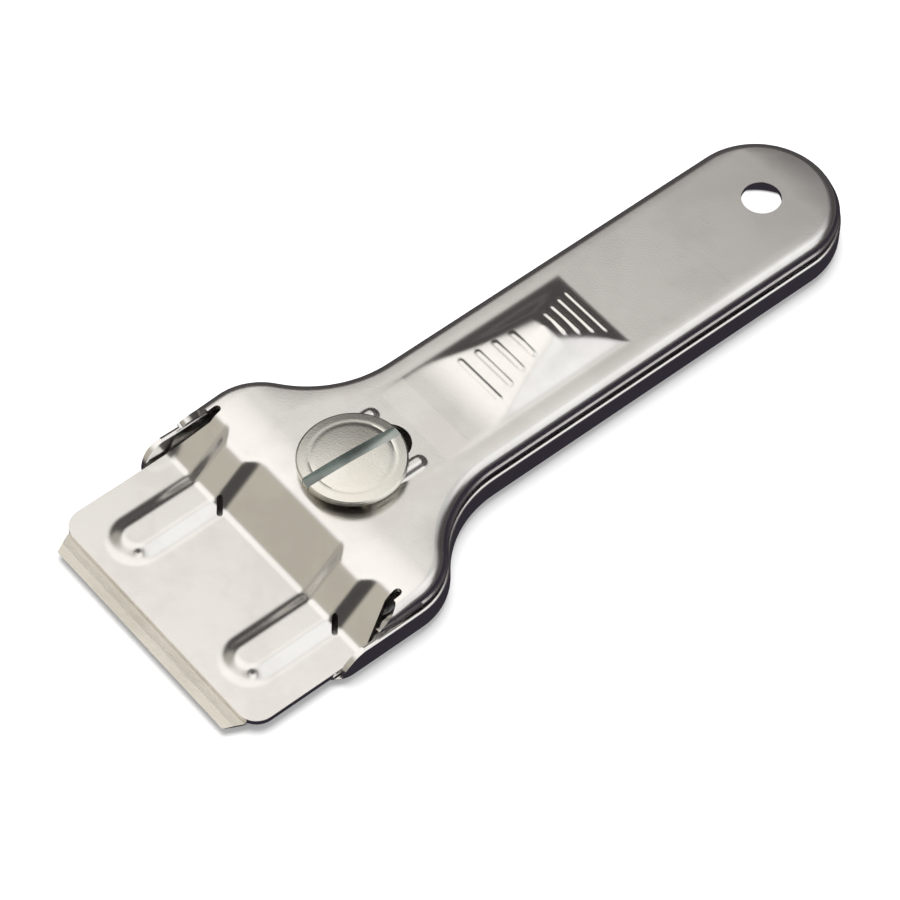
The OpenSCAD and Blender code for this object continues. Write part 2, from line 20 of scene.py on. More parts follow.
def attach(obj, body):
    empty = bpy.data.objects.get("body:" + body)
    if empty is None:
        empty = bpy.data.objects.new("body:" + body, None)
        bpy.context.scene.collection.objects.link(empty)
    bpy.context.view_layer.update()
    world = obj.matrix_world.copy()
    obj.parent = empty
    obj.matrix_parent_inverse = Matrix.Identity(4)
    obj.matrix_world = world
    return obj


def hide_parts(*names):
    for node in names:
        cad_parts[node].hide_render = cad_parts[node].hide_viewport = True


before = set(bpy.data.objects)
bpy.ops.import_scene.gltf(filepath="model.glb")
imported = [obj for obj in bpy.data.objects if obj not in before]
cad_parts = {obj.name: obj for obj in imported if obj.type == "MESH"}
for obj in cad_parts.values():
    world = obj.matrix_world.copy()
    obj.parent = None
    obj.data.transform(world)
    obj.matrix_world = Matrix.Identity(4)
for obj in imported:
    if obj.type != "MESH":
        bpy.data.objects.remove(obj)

LOG = logging.getLogger("scraper")
MM = 0.001
OVERALL_L = 130.75
SCREW_Y = 39.0
HANG_Y = 118.5
MERGE = 1e-4
Pair = Point = Tuple[float, float]
Triple = Colour = Tuple[float, float, float]


class Socket(Enum):
    """Kinds of socket that a shader group has."""

    NUMBER = "NodeSocketFloat"
    VECTOR = "NodeSocketVector"


class Limit(Enum):
    """What picks the edges that a bevel eases."""

    ANGLE = "ANGLE"
    WEIGHT = "WEIGHT"


class Axis(Enum):
    """Direction across which a flat mesh is cut."""

    X = (1, 0, 0)
    Y = (0, 1, 0)


class Nodes:
    """Small helper that adds and links shader nodes in one tree."""

    def __init__(self, tree: NodeTree) -> None:
        """Keeps the tree.

        Args:
            tree: Node tree that receives the nodes.
        """
        self.tree = tree

    def add(self, kind: str, **settings: object) -> Node:
        """Adds a node and sets its properties and its inputs.

        Args:
            kind: Node type, such as ShaderNodeMath.
            settings: Node properties by name, and sockets or values for the inputs by in_NAME.

        Returns:
            The new node.
        """
        node = self.tree.nodes.new(kind)
        for name, value in settings.items():
            if name.startswith("in_"):
                self.feed(value, node.inputs[name[3:].replace("_", " ")])
            else:
                setattr(node, name, value)
        return node

    def feed(self, value: object, into: NodeSocket) -> None:
        """Links an input to a socket, or gives it a value.

        Args:
            value: Socket or value.
            into: Input that takes it.
        """
        if isinstance(value, NodeSocket):
            self.tree.links.new(value, into)
        else:
            into.default_value = value

    def math(self, operation: str, a: object, b: object = 0.0) -> NodeSocket:
        """Adds a math node.

        Args:
            operation: Math operation.
            a: First socket or number.
            b: Second socket or number, where the operation takes one.

        Returns:
            The result's socket.
        """
        node = self.add("ShaderNodeMath", operation=operation)
        self.feed(a, node.inputs[0])
        self.feed(b, node.inputs[1])
        return node.outputs[0]

    def ramp(
        self, value: NodeSocket, low: float, high: float, to_low: float = 0.0, to_high: float = 1.0
    ) -> NodeSocket:
        """Adds a smooth map from one range to another.

        Args:
            value: Socket to map.
            low: Value that gives to_low.
            high: Value that gives to_high.
            to_low: Result at low.
            to_high: Result at high.

        Returns:
            The mapped socket.
        """
        node = self.add("ShaderNodeMapRange", interpolation_type="SMOOTHSTEP")
        names = ("Value", "From Min", "From Max", "To Min", "To Max")
        for name, given in zip(names, (value, low, high, to_low, to_high)):
            self.feed(given, node.inputs[name])
        return node.outputs["Result"]

    def blend(self, first: Colour, second: Colour, share: NodeSocket) -> NodeSocket:
        """Adds a mix of two colours.

        Args:
            first: Colour where the share is 0.
            second: Colour where the share is 1.
            share: Socket with the share of the second colour.

        Returns:
            The mixed colour's socket.
        """
        ends = {"in_A": (*first, 1.0), "in_B": (*second, 1.0)}
        return self.add("ShaderNodeMix", data_type="RGBA", in_Factor=share, **ends).outputs["Result"]

    def place(self, scale: Sequence[float], shift: Sequence[float] = (0, 0, 0)) -> NodeSocket:
        """Adds object coordinates through a mapping.

        Args:
            scale: Scale along each axis.
            shift: Place, in metres, that becomes the pattern's middle.

        Returns:
            The mapped vector's socket.
        """
        coords = self.add("ShaderNodeTexCoord").outputs["Object"]
        moved = [-s * k for s, k in zip(shift, scale)]
        return self.add("ShaderNodeMapping", in_Scale=scale, in_Location=moved, in_Vector=coords).outputs["Vector"]

    def distance(self, y: float) -> NodeSocket:
        """Measures how far a place lies from an upright axis on the middle line.

        Args:
            y: Place of the axis along the frame, in metres.

        Returns:
            The distance's socket, in metres.
        """
        level = self.place((1, 1, 0), (0.0, y, 0.0))
        return self.add("ShaderNodeVectorMath", operation="LENGTH", in_Vector=level).outputs["Value"]


class Effects:
    """Shader node groups that several finishes share."""

    def __init__(self) -> None:
        """Builds each group once."""
        self.grain = self.make_grain()
        self.handling = self.make_handling()

    def group(
        self, name: str, inputs: Sequence[Tuple[str, Socket]], outputs: Sequence[str]
    ) -> Tuple[NodeTree, Nodes, Node, Node]:
        """Starts a group with named sockets.

        Args:
            name: Name of the group.
            inputs: Name and kind of each input.
            outputs: Names of the outputs, all numbers.

        Returns:
            The tree, its helper, its input node and its output node.
        """
        tree = bpy.data.node_groups.new(name, "ShaderNodeTree")
        for title, kind in inputs:
            tree.interface.new_socket(name=title, in_out="INPUT", socket_type=kind.value)
        for title in outputs:
            tree.interface.new_socket(name=title, in_out="OUTPUT", socket_type=Socket.NUMBER.value)
        nodes = Nodes(tree)
        return tree, nodes, nodes.add("NodeGroupInput"), nodes.add("NodeGroupOutput")

    def make_grain(self) -> NodeTree:
        """Makes the fine grain that plating and grinding leave.

        Returns:
            The group, which puts out a roughness and a height.
        """
        inputs = [("Vector", Socket.VECTOR), ("Roughness", Socket.NUMBER), ("Spread", Socket.NUMBER)]
        tree, nodes, given, result = self.group("fine_grain", inputs, ["Roughness", "Height"])
        place = given.outputs["Vector"]
        noise = nodes.add("ShaderNodeTexNoise", in_Vector=place, in_Scale=1.0, in_Detail=3.0, in_Roughness=0.65)
        offset = nodes.math("MULTIPLY", nodes.math("SUBTRACT", noise.outputs["Fac"], 0.5), given.outputs["Spread"])
        nodes.feed(nodes.math("ADD", given.outputs["Roughness"], offset), result.inputs["Roughness"])
        nodes.feed(noise.outputs["Fac"], result.inputs["Height"])
        return tree

    def make_handling(self) -> NodeTree:
        """Makes the faint blotches that handling leaves.

        Returns:
            The group, which puts out a mask.
        """
        tree, nodes, given, result = self.group("handling", [("Vector", Socket.VECTOR)], ["Mask"])
        place = given.outputs["Vector"]
        broad = nodes.add("ShaderNodeTexNoise", in_Vector=place, in_Scale=90.0, in_Detail=4.0, in_Roughness=0.6)
        nodes.feed(nodes.ramp(broad.outputs["Fac"], 0.42, 0.62), result.inputs["Mask"])
        return tree


@dataclass(frozen=True)
class Metal:
    """Metal finish with fine grain and faint handling marks."""

    name: str
    light: Colour
    dark: Colour
    roughness: float
    spread: float
    grain: Triple
    bump: float
    relief: Optional[Callable[[Nodes], NodeSocket]] = None
    bump_depth: float = 0.0001

    def build(self, effects: Effects) -> Material:
        """Makes the material.

        Args:
            effects: Shared shader groups.

        Returns:
            The finished material.
        """
        material = bpy.data.materials.new(self.name)
        material.use_nodes = True
        nodes = Nodes(material.node_tree)
        shader = material.node_tree.nodes["Principled BSDF"]
        shader.inputs["Metallic"].default_value = 1.0
        marks = nodes.add("ShaderNodeGroup", node_tree=effects.handling, in_Vector=nodes.place((1, 1, 1)))
        nodes.feed(nodes.blend(self.light, self.dark, marks.outputs["Mask"]), shader.inputs["Base Color"])
        grain = nodes.add(
            "ShaderNodeGroup",
            node_tree=effects.grain,
            in_Vector=nodes.place(self.grain),
            in_Roughness=self.roughness,
            in_Spread=self.spread,
        )
        nodes.feed(grain.outputs["Roughness"], shader.inputs["Roughness"])
        height = grain.outputs["Height"]
        bump = nodes.add("ShaderNodeBump", in_Strength=self.bump, in_Distance=self.bump_depth, in_Height=height)
        if self.relief:
            relief = nodes.add("ShaderNodeBump", in_Strength=1.0, in_Distance=MM, in_Height=self.relief(nodes))
            nodes.feed(relief.outputs["Normal"], bump.inputs["Normal"])
        nodes.feed(bump.outputs["Normal"], shader.inputs["Normal"])
        return material


@dataclass
class Softbox:
    """Bright patch of the studio's surroundings, seen in the metal."""

    toward: Triple
    full: float
    fade: float
    strength: float
    colour: Colour = (1.0, 1.0, 1.0)


@dataclass
class Studio:
    """Camera, floor and surroundings."""

    aim: Triple = (4.93, -12.215, 6.0)
    azimuth: float = 50.51
    elevation: float = 53.61
    distance: float = 557.2
    lens: float = 153.24
    clip: Pair = (0.01, 10.0)
    base: Colour = (0.065, 0.06, 0.06)
    floor_size: float = 6.0
    floor_colour: Colour = (0.8, 0.8, 0.8)
    floor_glow: float = 0.30
    # Painted light: reach, in metres, of the fully glowing floor patch under the hanging hole.
    painted_light_under_hole: Pair = (0.0088, 0.0092)
    # Painted reflection of the floor in the metal: painted shade near the tool, fading to pale further off and ahead
    # of the blade.
    painted_shade_near: Colour = (0.035, 0.03, 0.042)
    painted_reflection_far: Colour = (0.5, 0.48, 0.44)
    tool_half: float = 0.055
    painted_shade_fade: Pair = (0.045, 0.09)
    ahead: Pair = (-0.055, -0.03)
    ahead_share: float = 0.2
    lamp_power: float = 16.0
    lamp_size: float = 0.9
    lamp_at: Triple = (-0.16, 0.12, 1.0)
    boxes: List[Softbox] = field(
        default_factory=lambda: [
            Softbox((-0.30, -0.10, 0.95), 20.0, 44.5, 1.15, (1.0, 0.972, 0.94)),
            Softbox((-0.80, -0.50, 0.25), 20.0, 36.0, 0.42, (1.0, 0.95, 0.85)),
            Softbox((0.74, 0.38, 0.56), 14.0, 28.0, 0.95),
            Softbox((0.40, 0.38, 0.83), 14.0, 34.0, 1.05),
            Softbox((0.0, 0.38, 0.93), 8.0, 30.0, 0.75),
            Softbox((-0.46, -0.74, 0.50), 18.0, 40.0, 0.52, (1.0, 0.94, 0.81)),
        ]
    )

    def camera(self) -> Object:
        """Makes the camera at the photograph's viewing angle.

        Returns:
            The camera.
        """
        azimuth, elevation = math.radians(self.azimuth), math.radians(self.elevation)
        back = Vector(
            (math.sin(azimuth) * math.cos(elevation), -math.cos(azimuth) * math.cos(elevation), math.sin(elevation))
        )
        data = bpy.data.cameras.new("camera")
        data.lens = self.lens
        data.sensor_width = 36.0
        data.clip_start, data.clip_end = self.clip
        camera = bpy.data.objects.new("camera", data)
        camera.location = (Vector(self.aim) + back * self.distance) * MM
        camera.rotation_mode = "QUATERNION"
        camera.rotation_quaternion = (-back).to_track_quat("-Z", "Y")
        bpy.context.scene.collection.objects.link(camera)
        bpy.context.scene.camera = camera
        return camera

    def surroundings(self) -> World:
        """Makes the studio's surroundings as bright patches on a dim ground.

        Returns:
            The world.
        """
        world = bpy.data.worlds.new("studio")
        world.use_nodes = True
        bpy.context.scene.world = world
        nodes = Nodes(world.node_tree)
        background = world.node_tree.nodes["Background"]
        coords = nodes.add("ShaderNodeTexCoord")
        red, green, blue = self.base
        total = nodes.add("ShaderNodeCombineXYZ", in_X=red, in_Y=green, in_Z=blue).outputs[0]
        for box in self.boxes:
            dot = nodes.add("ShaderNodeVectorMath", operation="DOT_PRODUCT", in_Vector=coords.outputs["Generated"])
            dot.inputs[1].default_value = Vector(box.toward).normalized()
            edge, core = math.cos(math.radians(box.fade)), math.cos(math.radians(box.full))
            mask = nodes.ramp(dot.outputs["Value"], edge, core, 0.0, box.strength)
            tint = nodes.add("ShaderNodeVectorMath", operation="SCALE", in_Vector=box.colour, in_Scale=mask)
            both = nodes.add("ShaderNodeVectorMath", operation="MAXIMUM", in_Vector=total)
            nodes.feed(tint.outputs[0], both.inputs[1])
            total = both.outputs[0]
        nodes.feed(total, background.inputs["Color"])
        return world

    def reach(self, nodes: Nodes) -> NodeSocket:
        """Measures how far the floor lies from the tool's middle line, in metres.

        Args:
            nodes: Helper of the floor's tree.

        Returns:
            The distance's socket.
        """
        split = nodes.add("ShaderNodeSeparateXYZ", in_Vector=nodes.place((1, 1, 1)))
        along, across = (nodes.math("ABSOLUTE", split.outputs[axis]) for axis in ("Y", "X"))
        beyond = nodes.math("MAXIMUM", nodes.math("SUBTRACT", along, self.tool_half), 0.0)
        squares = nodes.math("ADD", nodes.math("POWER", across, 2.0), nodes.math("POWER", beyond, 2.0))
        return nodes.math("SQRT", squares)

    def painted_floor_reflection(self, nodes: Nodes) -> Node:
        """Makes a painted reflection of the floor for the metal: painted shade beside the tool, pale ahead of it and
        further off.

        Args:
            nodes: Helper of the floor's tree.

        Returns:
            The emission shader's node.
        """
        along = nodes.add("ShaderNodeSeparateXYZ", in_Vector=nodes.place((1, 1, 1)))
        ahead = nodes.ramp(along.outputs["Y"], *self.ahead, 1.0, self.ahead_share)
        share = nodes.math("MULTIPLY", nodes.ramp(self.reach(nodes), *self.painted_shade_fade), ahead)
        return nodes.add("ShaderNodeEmission", in_Color=nodes.blend(self.painted_shade_near, self.painted_reflection_far, share))

    def floor(self) -> Object:
        """Makes the pale floor, which keeps the tool's soft shadow. Under the hanging hole the camera sees it glow
        fully white, a painted light that hides the shade seen through the hole.

        Returns:
            The floor.
        """
        bpy.ops.mesh.primitive_plane_add(size=self.floor_size)
        floor = bpy.context.active_object
        floor.name = "floor"
        material = bpy.data.materials.new("pale_floor")
        material.use_nodes = True
        nodes = Nodes(material.node_tree)
        shader = material.node_tree.nodes["Principled BSDF"]
        shader.inputs["Base Color"].default_value = (*self.floor_colour, 1.0)
        shader.inputs["Roughness"].default_value = 0.9
        shader.inputs["Specular IOR Level"].default_value = 0.0
        glow = nodes.add("ShaderNodeEmission", in_Strength=1.0)
        path = nodes.add("ShaderNodeLightPath")
        # Painted light: the floor glows fully white under the hanging hole and glows evenly elsewhere.
        glow_with_painted_hole_light = nodes.ramp(nodes.distance(in_frame(HANG_Y)), *self.painted_light_under_hole, 1.0, self.floor_glow)
        share = nodes.math("MULTIPLY", path.outputs["Is Camera Ray"], glow_with_painted_hole_light)
        look = shader.outputs[0]
        # Camera rays see the glowing floor; glossy rays see a painted reflection with painted shade beside the tool.
        for picks, other in ((share, glow), (path.outputs["Is Glossy Ray"], self.painted_floor_reflection(nodes))):
            mix = nodes.add("ShaderNodeMixShader")
            for value, into in zip((picks, look, other.outputs[0]), mix.inputs):
                nodes.feed(value, into)
            look = mix.outputs[0]
        nodes.feed(look, material.node_tree.nodes["Material Output"].inputs["Surface"])
        floor.data.materials.append(material)
        return floor

    def key(self) -> Object:
        """Makes the soft lamp that throws the tool's shadow, unseen in the metal.

        Returns:
            The lamp.
        """
        data = bpy.data.lights.new("key", "AREA")
        data.shape = "DISK"
        data.size = self.lamp_size
        data.energy = self.lamp_power
        lamp = bpy.data.objects.new("key", data)
        lamp.location = self.lamp_at
        lamp.rotation_mode = "QUATERNION"
        lamp.rotation_quaternion = (-Vector(lamp.location)).to_track_quat("-Z", "Y")
        lamp.visible_glossy = False
        bpy.context.scene.collection.objects.link(lamp)
        return lamp

    def build(self) -> List[str]:
        """Makes everything round the tool.

        Returns:
            The names of what was made.
        """
        bpy.context.scene.view_settings.view_transform = "Standard"
        return [made.name for made in (self.camera(), self.surroundings(), self.floor(), self.key())]


def in_frame(along: float) -> float:
    """Turns a place in millimetres from the cutting edge into the frame's Y in metres."""
    return (along - OVERALL_L / 2) * MM


def soft_max(a: float, b: float, k: float) -> float:
    """Gives the greater of two numbers, with the corner between them rounded over k."""
    near = max(k - abs(a - b), 0.0) / k
    return max(a, b) + near * near * k / 4


def soft_min(a: float, b: float, k: float) -> float:
    """Gives the lesser of two numbers, with the corner between them rounded over k."""
    return -soft_max(-a, -b, k)


def arc_points(centre: Point, radius: float, start: float, end: float, step: float) -> List[Point]:
    """Places points along an arc.

    Args:
        centre: Centre of the arc.
        radius: Radius of the arc.
        start: First angle in degrees.
        end: Last angle in degrees.
        step: Greatest angle between two points.

    Returns:
        The points, both ends included.
    """
    count = max(1, math.ceil(abs(end - start) / step))
    angles = [math.radians(start + (end - start) * i / count) for i in range(count + 1)]
    return [(centre[0] + radius * math.cos(a), centre[1] + radius * math.sin(a)) for a in angles]


def from_segment(x: float, y: float, a: Point, b: Point) -> Tuple[float, Point]:
    """Measures how far a point lies from a line segment.

    Args:
        x: Place across the tool.
        y: Place along the tool.
        a: First end of the segment.
        b: Second end of the segment.

    Returns:
        The distance and the nearest point of the segment.
    """
    along = Vector((b[0] - a[0], b[1] - a[1]))
    rel = Vector((x - a[0], y - a[1]))
    share = min(max(rel.dot(along) / max(along.length_squared, 1e-9), 0.0), 1.0)
    near = (a[0] + along.x * share, a[1] + along.y * share)
    return math.hypot(x - near[0], y - near[1]), near


def parts_of(faces: Sequence[BMFace]) -> List:
    """Gathers faces with their vertices and edges, as the cutting operators take them."""
    verts = dict.fromkeys(v for f in faces for v in f.verts)
    edges = dict.fromkeys(e for f in faces for e in f.edges)
    return [*verts, *edges, *faces]


def all_of(mesh: BMesh) -> List:
    """Gathers all the geometry of a mesh."""
    return mesh.verts[:] + mesh.edges[:] + mesh.faces[:]


def to_object(mesh: BMesh, name: str, finishes: Sequence[Material]) -> Object:
    """Turns a mesh into an object of the scene, shaded smooth.

    Args:
        mesh: Mesh in metres, which is freed.
        name: Name of the object and its mesh.
        finishes: Materials in the order of the faces' indices.

    Returns:
        The object.
    """
    for face in mesh.faces:
        face.smooth = True
    data = bpy.data.meshes.new(name)
    mesh.to_mesh(data)
    mesh.free()
    for finish in finishes:
        data.materials.append(finish)
    piece = bpy.data.objects.new(name, data)
    bpy.context.scene.collection.objects.link(piece)
    return piece


def ease(piece: Object, width: float, segments: int, limit: Limit, angle: float) -> Modifier:
    """Eases the sharp edges of a piece.

    Args:
        piece: Piece to ease.
        width: Width of the bevel in millimetres.
        segments: Number of the bevel's faces.
        limit: What picks the edges.
        angle: Least turn of an edge in degrees, where the angle picks them.

    Returns:
        The bevel modifier.
    """
    eased = piece.modifiers.new("eased_edges", "BEVEL")
    eased.width = width * MM
    eased.segments = segments
    eased.limit_method = limit.value
    eased.angle_limit = math.radians(angle)
    eased.harden_normals = True
    return eased


@dataclass
class Outline:
    """Plan outline of the pressed cover."""

    head_half: float = 23.5
    handle_half: float = 12.15
    shoulder_y: float = 32.5
    shoulder_r: float = 10.0
    end_y: float = 118.0

    def __post_init__(self) -> None:
        """Works out where the neck's arc meets the shoulder and the handle.

        The arcs turn by the larger sharp angle of a 3-4-5 triangle. The results are kept as attributes.
        """
        line = (self.head_half - self.handle_half) * 5 / 2
        self.neck_r = line - self.shoulder_r
        self.shoulder = (self.head_half - self.shoulder_r, self.shoulder_y)
        self.neck = (self.handle_half + self.neck_r, self.shoulder_y + line * 4 / 5)
        self.turn = math.degrees(math.atan2(4, 3))

    def side(self, inset: float) -> List[Point]:
        """Places points along the right side, from the shoulder to the rear.

        Args:
            inset: How far inside the outline they lie.

        Returns:
            The points from front to rear.
        """
        points = arc_points(self.shoulder, self.shoulder_r - inset, 0, self.turn, 4)
        points += arc_points(self.neck, self.neck_r + inset, 180 + self.turn, 180, 2.5)[1:]
        return points + arc_points((0, self.end_y), self.handle_half - inset, 0, 90, 3)

    def outward(self, x: float, y: float) -> Vector:
        """Gives the outward direction at a point near the outline.

        Args:
            x: Place across the tool.
            y: Place along the tool.

        Returns:
            The direction as a unit vector in the plan.
        """
        sign = math.copysign(1.0, x)
        right = Vector((abs(x), y))
        if y >= self.end_y:
            return Vector((x, y - self.end_y)).normalized()
        if y >= self.neck[1] or y <= self.shoulder_y:
            return Vector((sign, 0.0))
        away = right - Vector(self.shoulder)
        if math.degrees(math.atan2(away.y, away.x)) > self.turn:
            away = Vector(self.neck) - right
        away.normalize()
        return Vector((away.x * sign, away.y))


@dataclass
class SlidingCover:
    """Pressed cover with its clamp plate, two channels, two rails, thumb rest and hanging hole."""

    outline: Outline = field(default_factory=Outline)
    top: float = 9.0
    sheet: float = 0.9
    roll: float = 1.8
    depth: float = 2.5
    lip: Tuple[Point, ...] = ((0.04, 0.62), (0.29, 0.40), (0.34, 0.31), (0.34, 0.0))
    lip_run: float = 1.5
    plate_top: float = 2.65
    plate_half: float = 22.8
    plate_setback: float = 2.9
    plate_corner: float = 3.2
    step_y: float = 22.5
    step_run: float = 7.9
    step_half: float = 20.3
    tongue_in: float = 21.55
    tongue_y: float = 24.3
    tongue_blunt: float = 0.7
    channel_x: float = 13.376
    channel_foot: float = 4.15
    channel_crown: float = 2.15
    channel_h: float = 1.1
    channel_nose: float = 9.95
    mark_at: Point = (2.45, 8.25)
    slit_at: Point = (3.4, 22.25)
    slit_l: float = 1.8
    slit_w: float = 0.9
    slit_turn: float = 50.0
    slot_w: float = 7.0
    slot_travel: float = 6.6
    rail_x: float = 5.5
    rail_w: float = 2.4
    rail_h: float = 1.05
    rail_front: float = 2.5
    rail_back: float = 8.9
    ridge_y: float = 75.1
    front_ramp: float = 13.6
    rear_ramp: float = 9.1
    rest_h: float = 4.2
    rest_w: float = 12.8
    ridge_w: float = 5.8
    front_ribs: Pair = (4.1, 2.7)
    rear_ribs: Pair = (2.1, 2.1)
    rib_count: int = 4
    rib_w: float = 1.3
    rib_h: float = 0.35
    bow: float = 0.3
    bow_from: float = 35.5
    bow_run: float = 4.8
    bow_reach: float = 1.5
    hang_d: float = 6.2
    edge_w: float = 0.08
    edge_turn: float = 60.0
    roll_steps: int = 8
    tip_gap: float = 0.1
    near: float = 0.01
    sliver: float = 0.12
    channel_blend: Pair = (0.4, 0.3)
    step_blend: Pair = (0.5, 0.5)
    rail_slope: float = 1.8
    rail_blend: Pair = (0.2, 0.45)
    ramp_blend: Triple = (1.4, 0.4, 0.4)
    flank_blend: float = 2.4
    hip_power: float = 2.4
    rib_shares: Pair = (0.5, 0.9)
    rib_inset: float = 1.0
    rib_fall: float = 1.5
    mark_depth: float = 0.17
    mark_r: float = 0.42
    rails_from: float = 33.0
    rest_from: float = 52.0
    margin: float = 1.1
    fine: float = 0.25
    bend: float = 0.2
    coarse: float = 0.5
    wide: float = 2.0
    nose_rows: Pair = (4.8, 14.4)
    foot_rows: Pair = (20.6, 24.6)
    crest_rows: Pair = (-2.4, 1.8)
    neck_row: float = 36.5
    rail_patch: Triple = (7.7, 36.5, 50.4)
    rest_patch: Triple = (9.0, 54.6, 89.0)
    rest_steps: Pair = (0.32, 0.17)
    hole_patch: Pair = (4.2, 4.0)
    hole_step: float = 0.3
    straight_row: float = 1.6
    climb_row: float = 0.6
    beyond: float = 30.0

    def blank(self, mesh: BMesh) -> None:
        """Cuts the flat blank: plate, step, flat and the two tongues, as one face.

        Args:
            mesh: Empty mesh that receives the face.
        """
        half, low = self.plate_half - self.plate_corner, self.plate_setback + self.plate_corner
        crest = self.step_y + self.step_run
        relief_r = (self.tongue_in - self.step_half) / 2
        edge = self.outline.head_half - self.roll
        right = arc_points((half, low), self.plate_corner, -90, 0, 10)
        right += [(self.plate_half, self.step_y), (self.step_half, self.tongue_y - self.tip_gap)]
        right += arc_points((self.step_half + relief_r, crest), relief_r, 180, 0, 30)
        right += [(self.tongue_in, self.tongue_y), (edge, self.tongue_y)]
        right += self.outline.side(self.roll)
        left = [(-x, y) for x, y in reversed(right) if x > 1e-6]
        corners = [mesh.verts.new((x, y, self.top)) for x, y in right + left]
        mesh.faces.new(corners)

    def widened(self, x: float, y: float) -> float:
        """Gives the formed place across the tool of a point of the blank.

        The blank's step is narrow behind its foot, so that it lies clear of the tongues, which hang beside it
        once both are formed.

        Args:
            x: Place across the blank.
            y: Place along the blank.

        Returns:
            The place across the formed sheet.
        """
        tip, crest = self.tongue_y - self.tip_gap, self.step_y + self.step_run - self.roll
        inner = self.channel_x + self.channel_foot + self.margin
        narrow = self.plate_half - self.step_half
        if not self.step_y < y < crest or abs(x) <= inner:
            return x
        blank_half = self.plate_half - narrow * min((y - self.step_y) / (tip - self.step_y), 1.0)
        formed_half = self.plate_half - narrow * (y - self.step_y) / (crest - self.step_y)
        if abs(x) > blank_half + self.near:
            return x
        return x + math.copysign((formed_half - blank_half) * (abs(x) - inner) / (blank_half - inner), x)

    def cut(self, mesh: BMesh, geometry: List, axis: Axis, values: Sequence[float]) -> List:
        """Cuts geometry along straight lines in the plan.

        Args:
            mesh: Mesh to cut.
            geometry: Faces, edges and vertices to cut.
            axis: Axis that the lines cross.
            values: Place of each line.

        Returns:
            The geometry after the cuts.
        """
        normal = Vector(axis.value)
        for value in values:
            result = bmesh.ops.bisect_plane(mesh, geom=geometry, dist=MERGE, plane_co=normal * value, plane_no=normal)
            geometry = result["geom"]
        return geometry

    def patches(self) -> List[Tuple[float, float, float, float, float, float]]:
        """Lists the rectangles that need a fine grid.

        Returns:
            For each one its x range, its y range and the grid's step along x and y.
        """
        crest = self.step_y + self.step_run
        foot, bent = self.foot_rows, (crest + self.crest_rows[0], crest + self.crest_rows[1])
        behind = (bent[1], self.neck_row)
        half = self.channel_foot + self.margin
        inner, outer = self.channel_x - half, self.channel_x + half
        found = []
        for side in (-1, 1):
            low, high = sorted((side * inner, side * outer))
            rows = (
                (*self.nose_rows, self.fine, self.fine),
                (self.nose_rows[1], foot[0], self.fine, self.straight_row),
                (*foot, self.fine, self.bend),
                (foot[1], bent[0], self.fine, self.climb_row),
                (*bent, self.fine, self.bend),
                (*behind, self.coarse, self.coarse),
            )
            found += [(low, high, *row) for row in rows]
        for low, high in ((-self.beyond, -outer), (-inner, inner), (outer, self.beyond)):
            found += [(low, high, *rows, self.wide, self.bend) for rows in (foot, bent)]
            found.append((low, high, *behind, self.wide, self.coarse))
        reach = self.hole_patch[1]
        hole = (self.hole_patch[0], HANG_Y - reach, HANG_Y + reach)
        for (half, *rows), steps in (
            (self.rail_patch, (self.bend, self.fine)),
            (self.rest_patch, self.rest_steps),
            (hole, (self.hole_step, self.hole_step)),
        ):
            found.append((-half, half, *rows, *steps))
        return found

    def grid(self, mesh: BMesh) -> None:
        """Cuts a fine grid wherever the blank will be formed.

        Args:
            mesh: Mesh with the flat blank.
        """
        patches = self.patches()
        borders_x = sorted({round(v, 4) for p in patches for v in p[:2] if abs(v) < self.plate_half})
        borders_y = sorted({round(v, 4) for p in patches for v in p[2:4]})
        everything = self.cut(mesh, all_of(mesh), Axis.X, borders_x)
        self.cut(mesh, everything, Axis.Y, borders_y)
        for x0, x1, y0, y1, step_x, step_y in patches:
            faces = []
            for face in mesh.faces:
                middle = face.calc_center_median()
                if x0 < middle.x < x1 and y0 < middle.y < y1:
                    faces.append(face)
            geometry = parts_of(faces)
            for axis, low, high, step in ((Axis.X, x0, x1, step_x), (Axis.Y, y0, y1, step_y)):
                count = round((high - low) / step)
                lines = [low + (high - low) * i / count for i in range(1, count)]
                geometry = self.cut(mesh, geometry, axis, lines)

    def open_slot(self, mesh: BMesh, a: Point, b: Point, radius: float) -> None:
        """Opens a round-ended slot in the grid.

        Args:
            mesh: Gridded blank.
            a: Centre of the first round end.
            b: Centre of the second round end.
            radius: Half the slot's width.
        """
        inside = []
        for face in mesh.faces:
            middle = face.calc_center_median()
            if from_segment(middle.x, middle.y, a, b)[0] < radius:
                inside.append(face)
        bmesh.ops.delete(mesh, geom=inside, context="FACES")
        for vert in {v for e in mesh.edges if e.is_boundary for v in e.verts}:
            distance, near = from_segment(vert.co.x, vert.co.y, a, b)
            if distance < radius + self.fine:
                scale = radius / max(distance, MERGE)
                vert.co.x = near[0] + (vert.co.x - near[0]) * scale
                vert.co.y = near[1] + (vert.co.y - near[1]) * scale

    def open_all(self, mesh: BMesh) -> None:
        """Opens the hanging hole, the guide slot and the two slits.

        Args:
            mesh: Gridded blank.
        """
        self.open_slot(mesh, (0, HANG_Y), (0, HANG_Y), self.hang_d / 2)
        self.open_slot(mesh, (0, SCREW_Y), (0, SCREW_Y + self.slot_travel), self.slot_w / 2)
        turn = math.radians(self.slit_turn)
        half = Vector((-math.sin(turn), math.cos(turn))) * self.slit_l / 2
        for side in (-1, 1):
            middle = Vector((side * self.channel_x + self.slit_at[0], self.slit_at[1]))
            self.open_slot(mesh, tuple(middle - half), tuple(middle + half), self.slit_w / 2)

